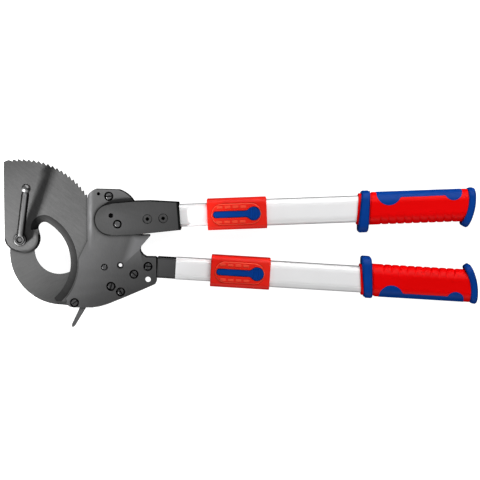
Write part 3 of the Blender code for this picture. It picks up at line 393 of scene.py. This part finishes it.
def from_bmesh(name, bm):
    bmesh.ops.recalc_face_normals(bm, faces=bm.faces)
    mesh = bpy.data.meshes.new(name)
    bm.to_mesh(mesh)
    bm.free()
    return as_object(name, mesh)


def evaluated(obj):
    """The mesh of an object or curve with its modifiers; the object itself goes."""
    graph = bpy.context.evaluated_depsgraph_get()
    mesh = bpy.data.meshes.new_from_object(obj.evaluated_get(graph))
    bpy.data.objects.remove(obj)
    return mesh


def plate(name, outline, low, high, rim=0.0, holes=(), steps=3):
    """A flat piece between two heights, its rims rounded by rim, all round and in its holes."""
    curve = bpy.data.curves.new(name, "CURVE")
    curve.dimensions = "2D"
    curve.fill_mode = "BOTH"
    curve.extrude = (high - low) / 2 - rim
    curve.bevel_depth = rim
    curve.offset = -rim
    curve.bevel_resolution = steps
    for loop in (outline, *holes):
        spline = curve.splines.new("POLY")
        spline.points.add(len(loop) - 1)
        spline.use_cyclic_u = True
        for point, (x, y) in zip(spline.points, loop):
            point.co = (x, y, 0, 1)
    mesh = evaluated(as_object(name, curve))
    bm = bmesh.new()
    bm.from_mesh(mesh)
    bmesh.ops.remove_doubles(bm, verts=bm.verts, dist=1e-6)
    bm.transform(Matrix.Translation((0, 0, (low + high) / 2)))
    return from_bmesh(name, bm)


def loft(name, rings):
    """A closed skin over rings of equal length: from ring to ring, and from the last to the first."""
    bm = bmesh.new()
    rows = [[bm.verts.new(point) for point in ring] for ring in rings]
    count = len(rows[0])
    for row, after in zip(rows, rows[1:] + rows[:1]):
        for i in range(count):
            j = (i + 1) % count
            bm.faces.new((row[i], row[j], after[j], after[i]))
    return from_bmesh(name, bm)


def combine(obj, other, operation="DIFFERENCE"):
    """Cuts, joins or keeps the common part of two solids. The second one is used up."""
    made = obj.modifiers.new("combine", "BOOLEAN")
    made.operation = operation
    made.solver = "EXACT"
    made.object = other
    name = obj.name
    mesh = evaluated(obj)
    bpy.data.objects.remove(other)
    return as_object(name, mesh)


def soften(obj, width, segments=3, angle=40.0):
    """Rounds the sharp edges of a solid."""
    made = obj.modifiers.new("soft_edge", "BEVEL")
    made.width = width
    made.segments = segments
    made.limit_method = "ANGLE"
    made.angle_limit = math.radians(angle)
    name = obj.name
    return as_object(name, evaluated(obj))


def smooth(obj, angle=32.0):
    obj.data.shade_smooth()
    obj.data.set_sharp_from_angle(angle=math.radians(angle))
    return obj


def on_handles(master, material, angle=32.0):
    """Sets a copy of a piece on each handle, mirrored on the lower one. It stands for the CAD node
    of the same name and rides on that node's body."""
    smooth(master, angle)
    for name, handle in HANDLES.items():
        mesh = master.data.copy()
        turn = Matrix.Rotation(math.radians(handle["turn"]), 4, "Z")
        spot = Matrix.Translation((*handle["origin"], SHEAR_HEIGHT))
        mesh.transform(spot @ turn @ Matrix.Diagonal((1, handle["side"], 1, 1)))
        if handle["side"] < 0:
            mesh.flip_normals()
        node = f"{name}_{master.name}"
        mesh.materials.clear()
        mesh.materials.append(material)
        copy = as_object(f"{node}_skin", mesh)
        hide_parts(node)
        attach(copy, body_of(frame["nodes"][node])[0])
    bpy.data.objects.remove(master)


def dress(nodes, material, edge):
    """Gives CAD nodes their material, finely broken edges and smooth curved faces."""
    for node in nodes:
        obj = frame["nodes"][node]
        obj.data.materials.clear()
        obj.data.materials.append(material)
        imported = obj.data.attributes.get("custom_normal")
        if imported:
            obj.data.attributes.remove(imported)
        obj.data.shade_smooth()
        weld = obj.modifiers.new("weld", "WELD")
        weld.merge_threshold = 0.01 * MM
        flat = obj.modifiers.new("flat_faces", "DECIMATE")
        flat.decimate_type = "DISSOLVE"
        flat.angle_limit = math.radians(0.6)
        if edge:
            rim = obj.modifiers.new("broken_edge", "BEVEL")
            rim.width = edge
            rim.segments = 2
            rim.limit_method = "ANGLE"
            rim.angle_limit = math.radians(SHARP_ANGLE)
            rim.loop_slide = False
        normals = obj.modifiers.new("normals", "WEIGHTED_NORMAL")
        normals.keep_sharp = False
        normals.weight = 100
        normals.thresh = 0.0


# ---------------------------------------------------------------- grip

GRIP_HALF = (21.5 * MM, 17.0 * MM)
GRIP_CORNER = 14.0 * MM
GRIP_START = 216.3 * MM  # where the grip meets its collar, on the axis
NECK_START = 198.6 * MM
LEAN = 0.106  # how far the collar and the grip's ends lean along u for each unit of v
COLLAR_START = 201.2 * MM
COLLAR_THICKNESS = 13.6 * MM
COLLAR_SPAN = (-31.0 * MM, 23.6 * MM)  # in v
COLLAR_TAPER = 0.16  # share of its thickness that the collar loses towards the outer side
CAP_CENTRE = (280.1 * MM, 12.0 * MM)
CAP_INNER = 65.6 * MM
CAP_OUTER = 74.8 * MM
CAP_TOP = 23.3 * MM  # in v
CAP_BOTTOM = -34.5  # degrees about CAP_CENTRE
BORE = (35.8 * MM, 27.0 * MM, 10.8 * MM)
RIB_PITCH = 10.46 * MM
FIRST_RIB = 229.8 * MM
RIB_COUNT = 10
INLAY_STEP = 14.4 * MM


def cap_face(v):
    """Where the cap's inner face crosses the height v."""
    return CAP_CENTRE[0] + math.sqrt(CAP_INNER ** 2 - (v - CAP_CENTRE[1]) ** 2)


def rib_depth(u, v):
    """How far the finger ribs sink the surface: grooves on the inner side that fan out and fade
    over the faces, with a slight swell between them."""
    place = (u + 0.10 * (v + 21.5 * MM) - FIRST_RIB) / RIB_PITCH
    if not -0.5 < place < RIB_COUNT - 0.5:
        return 0.0
    offset = (place - round(place)) * RIB_PITCH
    groove = math.exp(-(offset / (1.0 * MM)) ** 2)
    swell = 0.5 - 0.5 * math.cos(2 * math.pi * place)
    fade = 1 - smoothstep(-20.5 * MM, -3 * MM, v)
    return (1.15 * groove - 0.18 * swell + 0.12) * MM * fade ** 1.3


def grip_rings(grow, ribs=True, stations=170):
    """Rings of the grip's outer skin, from its collar to its cap. grow thickens it."""
    height, thick = 2 * (GRIP_HALF[0] + grow), 2 * (GRIP_HALF[1] + grow)
    outline = rounded_box(height, thick, GRIP_CORNER + grow, steps=20)
    outline = densified(outline, 1.1 * MM)
    rings = []
    for i in range(stations + 1):
        t = i / stations
        ring = []
        for v, z in outline:
            start = GRIP_START + LEAN * v - grow
            end = cap_face(v) - 0.25 * MM + grow
            u = start + (end - start) * t
            sink = rib_depth(u, v) if ribs else 0.0
            inward = Vector((max(0.0, abs(v) - 7.5 * MM) * (1 if v > 0 else -1), z))
            inward = inward.normalized() * sink
            ring.append((u, v - inward[0], z - inward[1]))
        rings.append(ring)
    return rings


def densified(outline, step):
    """Splits the long straight stretches of a closed outline."""
    points = []
    for start, end in zip(outline, outline[1:] + outline[:1]):
        pieces = max(1, round(math.dist(start, end) / step))
        for k in range(pieces):
            points.append(tuple(a + (b - a) * k / pieces for a, b in zip(start, end)))
    return points


def inner_rings(rings, height, thick, corner):
    """Rings of a straight bore inside rings of a skin, from its last to its first."""
    count = len(rings[0])
    outline = densified(rounded_box(height, thick, corner, steps=20), 1.1 * MM)
    outline = [outline[round(i * len(outline) / count) % len(outline)] for i in range(count)]
    return [
        [(u, v, z) for (u, _, _), (v, z) in zip(ring, outline)] for ring in (rings[-1], rings[0])]


def inlay_region(grow=0.0):
    step = INLAY_STEP - grow
    wide = ((240.4 * MM, 20.5 * MM), 16.2 * MM + grow)
    small = ((325.5 * MM, 19.5 * MM), 11.7 * MM + grow)
    fillet = 1.6 * MM
    fall = math.degrees(math.asin((wide[0][1] - step) / wide[1]))
    rise = math.degrees(math.asin((small[0][1] - step) / small[1]))
    return [
        *arc(*wide, 180, 360 - fall - 3, 40),
        (polar(*wide, 360 - fall)[0] + fillet, step + 0.1 * fillet),
        (polar(*wide, 360 - fall)[0] + 3 * fillet, step),
        (polar(*small, 180 + rise)[0] - 3 * fillet, step),
        (polar(*small, 180 + rise)[0] - fillet, step + 0.1 * fillet),
        *arc(*small, 180 + rise + 3, 360, 32),
        (small[0][0] + small[1], 30 * MM),
        (wide[0][0] - wide[1], 30 * MM),
    ]


def grip_body():
    rings = grip_rings(0.0)
    body = loft("grip", rings + inner_rings(rings, *BORE))
    shell = grip_rings(3 * MM, ribs=False, stations=2)
    core = inner_rings(shell, 37.8 * MM, 28.8 * MM, 11.6 * MM)
    pocket = loft("pocket", shell + core)
    region = plate("region", inlay_region(0.12 * MM), -30 * MM, 30 * MM)
    body = combine(body, combine(pocket, region, "INTERSECT"))
    lip = neck_lip()
    return combine(body, lip, "UNION")


def neck_lip():
    """The thin red rim that shows in front of the collar."""
    skin = []
    for t, inset in ((0, 1.2), (0.25, 0.35), (0.6, 0), (14.0, 0), (18.6, 0)):
        outline = rounded_box(41 * MM - 2 * inset * MM, 32.4 * MM - 2 * inset * MM, 12.4 * MM)
        skin.append([(NECK_START + t * MM + LEAN * v, v, z) for v, z in outline])
    bore = rounded_box(*BORE)
    return loft("lip", skin + [
        [(u, v, z) for (u, _, _), (v, z) in zip(ring, bore)] for ring in (skin[-1], skin[0])])


def grip_inlay():
    rings = grip_rings(0.22 * MM, ribs=False)
    core = inner_rings(rings, 38.4 * MM, 29.4 * MM, 11.8 * MM)
    inlay = loft("grip_inlay", rings + core)
    region = plate("region", inlay_region(-0.05 * MM), -30 * MM, 30 * MM)
    return combine(inlay, region, "INTERSECT")


def grip_collar():
    """Finger guard: a leaning, soft-edged flange, a little thinner towards the outer side."""
    low, high = COLLAR_SPAN
    half = COLLAR_THICKNESS / 2
    outline = rounded_box(high - low, 40 * MM, 11 * MM, ((low + high) / 2, 0), 12)
    hole = rounded_box(39.6 * MM, 31 * MM, 12 * MM, steps=8)
    flange = plate("grip_collar", outline, 0, COLLAR_THICKNESS, 3.2 * MM, [hole], 5)
    for vert in flange.data.vertices:
        v, z, u = vert.co
        taper = 1 - COLLAR_TAPER * smoothstep(low, high, v)
        crown = 0.2 * MM * math.cos(math.pi * (v - low) / (high - low) - math.pi / 2)
        side = 1 if u > half else -1
        vert.co = (COLLAR_START + half + (u - half) * taper + side * crown + LEAN * v, v, z)
    return flange


def grip_cap():
    """End cap: a soft-edged slab bent round the end of the grip."""
    middle = (CAP_INNER + CAP_OUTER) / 2
    top = math.degrees(math.asin((CAP_TOP - CAP_CENTRE[1]) / CAP_OUTER))
    length = math.radians(top - CAP_BOTTOM) * middle
    outline = rounded_box(length, 40 * MM, 11 * MM, steps=12)
    slab = plate("grip_cap", outline, 0, CAP_OUTER - CAP_INNER, 3.0 * MM, steps=5)
    bm = bmesh.new()
    bm.from_mesh(slab.data)
    bpy.data.objects.remove(slab)
    cuts = 36
    for i in range(1, cuts):
        spot = (length * (i / cuts - 0.5), 0, 0)
        bmesh.ops.bisect_plane(bm, geom=[*bm.verts, *bm.edges, *bm.faces], plane_co=spot, plane_no=(1, 0, 0))
    for vert in bm.verts:
        s, z, t = vert.co
        angle = (top + CAP_BOTTOM) / 2 + math.degrees(s / middle)
        vert.co = (*polar(CAP_CENTRE, CAP_INNER + t, angle), z)
    return from_bmesh("grip_cap", bm)


# ---------------------------------------------------------------- lock sleeve and button

SLEEVE_LENGTH = 78.7 * MM
SLEEVE = (41.2 * MM, 34.4 * MM, 6.5 * MM)
PAD_TOP = 18.6 * MM
BUTTON_TOP = 18.2 * MM
HEAD = ((61.3 * MM, 0.0), 9.0 * MM)
TAIL = ((12.0 * MM, 0.0), 4.3 * MM)
TICK_PITCH = 10.3 * MM


def keyhole(grow=0.0):
    """Round head on a long tail, with a fillet where they meet."""
    head, tail = HEAD[1] + grow, TAIL[1] + grow
    fillet = 5.0 * MM
    reach = math.sqrt((head + fillet) ** 2 - (tail + fillet) ** 2)
    spot = HEAD[0][0] - reach
    lean = math.degrees(math.atan2(tail + fillet, reach))
    upper = arc((spot, tail + fillet), fillet, -lean, -90, 8)
    lower = [(u, -v) for u, v in reversed(upper)]
    return [
        *arc(HEAD[0], head, -180 + lean, 180 - lean, 40),
        *upper,
        *arc(TAIL[0], tail, 90, 270, 18),
        *lower,
    ]


def lock_sleeve():
    height, thick, corner = SLEEVE
    round_end = 1.3 * MM
    rim = []
    for k in range(6):
        angle = math.radians(18 * k)
        rim.append((round_end * (1 - math.cos(angle)), round_end * (1 - math.sin(angle))))
    profile = [*rim, *((SLEEVE_LENGTH - u, inset) for u, inset in reversed(rim))]
    skin = []
    for u, inset in profile:
        outline = rounded_box(height - 2 * inset, thick - 2 * inset, corner - inset, steps=10)
        skin.append([(u, v, z) for v, z in outline])
    bore = rounded_box(31 * MM, 23 * MM, 9 * MM, steps=10)
    skin += [[(u, v, z) for v, z in bore] for u in (SLEEVE_LENGTH, 0)]
    sleeve = loft("lock_sleeve", skin)
    pad = [*arc((57.5 * MM, 0), 13.8 * MM, -90, 90, 36), *arc((19.5 * MM, 0), 13.8 * MM, 90, 270, 36)]
    sleeve = combine(sleeve, plate("pad", pad, 15 * MM, PAD_TOP, 0.9 * MM), "UNION")
    for side, first in ((1, 17.0 * MM), (-1, 15.6 * MM)):
        for k in range(4):
            spot = (first + k * TICK_PITCH, side * 9.8 * MM)
            tick = rounded_box(7.4 * MM, 3.2 * MM, 0.7 * MM, spot, 4)
            sleeve = combine(sleeve, plate("tick", tick, 15 * MM, PAD_TOP + 0.55 * MM, 0.3 * MM), "UNION")
    opening = plate("opening", keyhole(0.45 * MM), 12 * MM, 22 * MM)
    return combine(sleeve, opening)


def lock_button():
    button = plate("lock_button", keyhole(), BUTTON_TOP - 1.8 * MM, BUTTON_TOP, 0.8 * MM, steps=4)
    bm = bmesh.new()
    for k in range(4):
        spot = Matrix.Translation((HEAD[0][0] + (k - 1.5) * 3.2 * MM, 0, BUTTON_TOP + 0.75 * MM))
        bmesh.ops.create_cone(
            bm, cap_ends=True, segments=20, radius1=1.25 * MM, radius2=1.25 * MM, depth=13 * MM,
            matrix=spot @ Matrix.Rotation(math.radians(90), 4, "X"))
    return combine(button, from_bmesh("grooves", bm))


# ---------------------------------------------------------------- clamp lever

LEVER_REACH = 69.1 * MM
LEVER_ANGLE = 81.4
BALL_HEIGHT = 43.5 * MM
BALL_RADIUS = 6.25 * MM
HUB_LOW = 28.75 * MM
ROD_BREADTH = 1.32


def lathe(name, centre, profile, steps=64):
    """A solid turned about a vertical axis from (radius, z) points between two points on it."""
    bm = bmesh.new()
    rows = []
    for radius, z in profile:
        if radius < 1e-7:
            rows.append([bm.verts.new((centre[0], centre[1], z))])
            continue
        ring = [polar(centre, radius, 360 * i / steps) for i in range(steps)]
        rows.append([bm.verts.new((x, y, z)) for x, y in ring])
    for row, after in zip(rows, rows[1:]):
        for i in range(steps):
            j = (i + 1) % steps
            corners = [row[i % len(row)], row[j % len(row)], after[j % len(after)], after[i % len(after)]]
            bm.faces.new(list(dict.fromkeys(corners)))
    return from_bmesh(name, bm)


def clamp_lever(steel, ball_steel):
    top = HUB_LOW + 6.3 * MM
    hub = lathe("clamp_hub", (0, 0), [
        (0, top - 0.9 * MM), (2.9 * MM, top - 0.9 * MM), (3.3 * MM, top - 1.3 * MM),
        (3.6 * MM, top - 1.3 * MM), (4.0 * MM, top - 0.2 * MM), (4.4 * MM, top), (5.6 * MM, top),
        (6.2 * MM, top - 0.5 * MM), (6.3 * MM, top - 1.0 * MM), (6.6 * MM, top - 1.7 * MM),
        (7.9 * MM, top - 2.0 * MM),
        (8.5 * MM, top - 2.5 * MM), (8.6 * MM, top - 3.2 * MM), (8.6 * MM, HUB_LOW + 0.5 * MM),
        (8.2 * MM, HUB_LOW), (0, HUB_LOW)])
    start = Vector((*polar((0, 0), 5.5 * MM, LEVER_ANGLE), 31.7 * MM))
    end = Vector((*polar((0, 0), LEVER_REACH, LEVER_ANGLE), BALL_HEIGHT))
    along = (end - start).normalized()
    length = (end - start).length
    rod = lathe("rod", (0, 0), [
        (0, 0), (4.0 * MM, 0), (4.0 * MM, 4 * MM), (3.9 * MM, length - 9 * MM),
        (3.4 * MM, length - 5 * MM), (0, length - 5 * MM)], 40)
    turn = along.to_track_quat("Z", "Y").to_matrix().to_4x4()
    rod.data.transform(Matrix.Translation(start) @ turn @ Matrix.Diagonal((ROD_BREADTH, 1, 1, 1)))
    lever = combine(hub, rod, "UNION")
    lever = smooth(soften(lever, 0.5 * MM, 3, 50), 35)
    ball = bmesh.new()
    bmesh.ops.create_uvsphere(ball, u_segments=48, v_segments=32, radius=BALL_RADIUS)
    bmesh.ops.transform(ball, matrix=Matrix.Translation(end) @ turn, verts=ball.verts)
    ball = smooth(from_bmesh("clamp_ball_skin", ball))
    lever.name = "clamp_lever_skin"
    for piece, node, material, slot in (
        (lever, "clamp_lever", steel, "frame_steel"), (ball, "clamp_ball", ball_steel, "polished_steel"),
    ):
        piece.data.materials.clear()
        piece.data.materials.append(material)
        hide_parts(node)
        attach(piece, "clamp")


# ---------------------------------------------------------------- assembly

blade_steel = ground_steel("blade_steel", 0.043, 38, boss=True)
# Painted shade: the hook's steel is a darker copy of the blade's, offsetting the lamp close to it.
hook_steel = ground_steel("hook_steel", 0.024, -30)
plate_steel = dark_steel("plate_steel", 0.037, 0.058, edge_highlight=True)
frame_steel = dark_steel("frame_steel", 0.05, 0.085)
lever_steel = dark_steel("lever_steel", 0.026, 0.038, 0.5)
fork_steel = dark_steel("fork_steel", 0.034, 0.045, 0.36, end_shade=True)
tang_steel = dark_steel("tang_steel", 0.04, 0.055, 0.4)
bright = screw_steel()
mirror = polished_steel()
white = white_coat()
red = moulded("red_plastic", (0.76, 0.0, 0.0), (0.83, 0.0, 0.001), 0.45, 0.05 * MM, 0.08)
# Painted sheen: the sleeve's red carries an orange tint, lighter than the grip's red.
sleeve_red = moulded(
    "sleeve_red", (0.76, 0.012, 0.006), (0.83, 0.024, 0.012), 0.42, 0.05 * MM, 0.14,
    raised_highlight=(0.95, 0.12, 0.06))
blue = moulded("blue_plastic", (0.0, 0.036, 0.235), (0.0, 0.047, 0.285), 0.5, 0.05 * MM, 0.1)

screws = [f"frame_screw_{number}" for number in range(1, 7)]
dress(["moving_blade"], blade_steel, 0.3 * MM)
dress(["fixed_blade"], hook_steel, 0.3 * MM)
dress(["front_plate", "rear_plate"], plate_steel, 0.4 * MM)
dress(["fork", "fork_rivet_1", "fork_rivet_2"], fork_steel, 0.3 * MM)
dress(["handle_tang"], tang_steel, 0.4 * MM)
dress([
    "spacer_top", "spacer_bottom", "fork_pivot_pin", "blade_pivot_nut", "drive_pawl", "holding_pawl",
    "spring_post"], frame_steel, 0.3 * MM)
dress([
    *screws, "pawl_pin", "release_pin", "blade_pivot_bolt", "front_washer", "rear_washer",
    "upper_lock_pin", "lower_lock_pin"], bright, 0.15 * MM)
dress(["release_spring", "drive_spring", "upper_lock_spring", "lower_lock_spring"], bright, 0)
dress(["upper_inner_tube", "lower_inner_tube", "upper_outer_tube", "lower_outer_tube"], white, 0.3 * MM)

clamp_lever(lever_steel, mirror)
on_handles(grip_body(), red)
on_handles(grip_inlay(), blue)
on_handles(grip_collar(), blue)
on_handles(grip_cap(), blue, 40)
on_handles(lock_sleeve(), sleeve_red)
on_handles(lock_button(), blue)


# ---------------------------------------------------------------- studio

floor = bmesh.new()
bmesh.ops.create_grid(floor, x_segments=1, y_segments=1, size=15.0)
floor = from_bmesh("floor", floor)
floor.location.z = -0.1 * MM
floor.data.materials.append(floor_paper())
floor.visible_diffuse = False
floor.visible_glossy = False


def lamp(kind, name, place, target, power, **settings):
    """A light that shines from its place towards a target."""
    light = bpy.data.lights.new(name, kind)
    light.energy = power
    for key, value in settings.items():
        setattr(light, key, value)
    made = bpy.data.objects.new(name, light)
    bpy.context.scene.collection.objects.link(made)
    made.location = place
    made.visible_camera = False
    made.rotation_euler = (Vector(target) - Vector(place)).to_track_quat("-Z", "Y").to_euler()


lamp("AREA", "top", (0.62, 0.6, 0.62), (0.4, 0, 0), 7, shape="RECTANGLE", size=0.9, size_y=0.5)
lamp("AREA", "rear", (0.25, 1.0, 0.25), (0.2, 0, 0.02), 7, shape="RECTANGLE", size=1.4, size_y=0.25)
lamp("AREA", "front", (0.25, -0.9, 0.55), (0.25, 0, 0.02), 7, shape="RECTANGLE", size=1.4, size_y=0.4)
lamp(
    "SPOT", "left", (-0.42, -0.34, 0.27), (0.03, 0.03, 0.02), 145,
    spot_size=math.radians(25), spot_blend=0.85, shadow_soft_size=0.06)

world = bpy.data.worlds.new("studio")
bpy.context.scene.world = world
world.use_nodes = True
sky = world.node_tree
direction = sky.nodes.new("ShaderNodeTexCoord").outputs["Generated"]
facing = sky.nodes.new("ShaderNodeVectorMath")
facing.operation = "DOT_PRODUCT"
facing.inputs[1].default_value = (-0.15, 0.55, 0.82)
sky.links.new(direction, facing.inputs[0])
glow = sky.nodes.new("ShaderNodeMapRange")
for socket, number in (("From Min", -0.3), ("From Max", 1.0), ("To Min", 0.1), ("To Max", 0.44)):
    glow.inputs[socket].default_value = number
sky.links.new(facing.outputs["Value"], glow.inputs["Value"])
sky.links.new(glow.outputs["Result"], sky.nodes["Background"].inputs["Strength"])

TILT = math.radians(4.5)
DISTANCE = 2.2
FRAME_WIDTH = 0.638
AIM = Vector((0.2911, -0.0013, SHEAR_HEIGHT))
camera = bpy.data.objects.new("camera", bpy.data.cameras.new("camera"))
bpy.context.scene.collection.objects.link(camera)
camera.location = AIM + DISTANCE * Vector((0, math.sin(TILT), math.cos(TILT)))
camera.rotation_euler = (-TILT, 0, 0)
camera.data.lens = camera.data.sensor_width * DISTANCE / FRAME_WIDTH
bpy.context.scene.camera = camera
bpy.context.scene.view_settings.view_transform = "Standard"

bpy.context.view_layer.update()
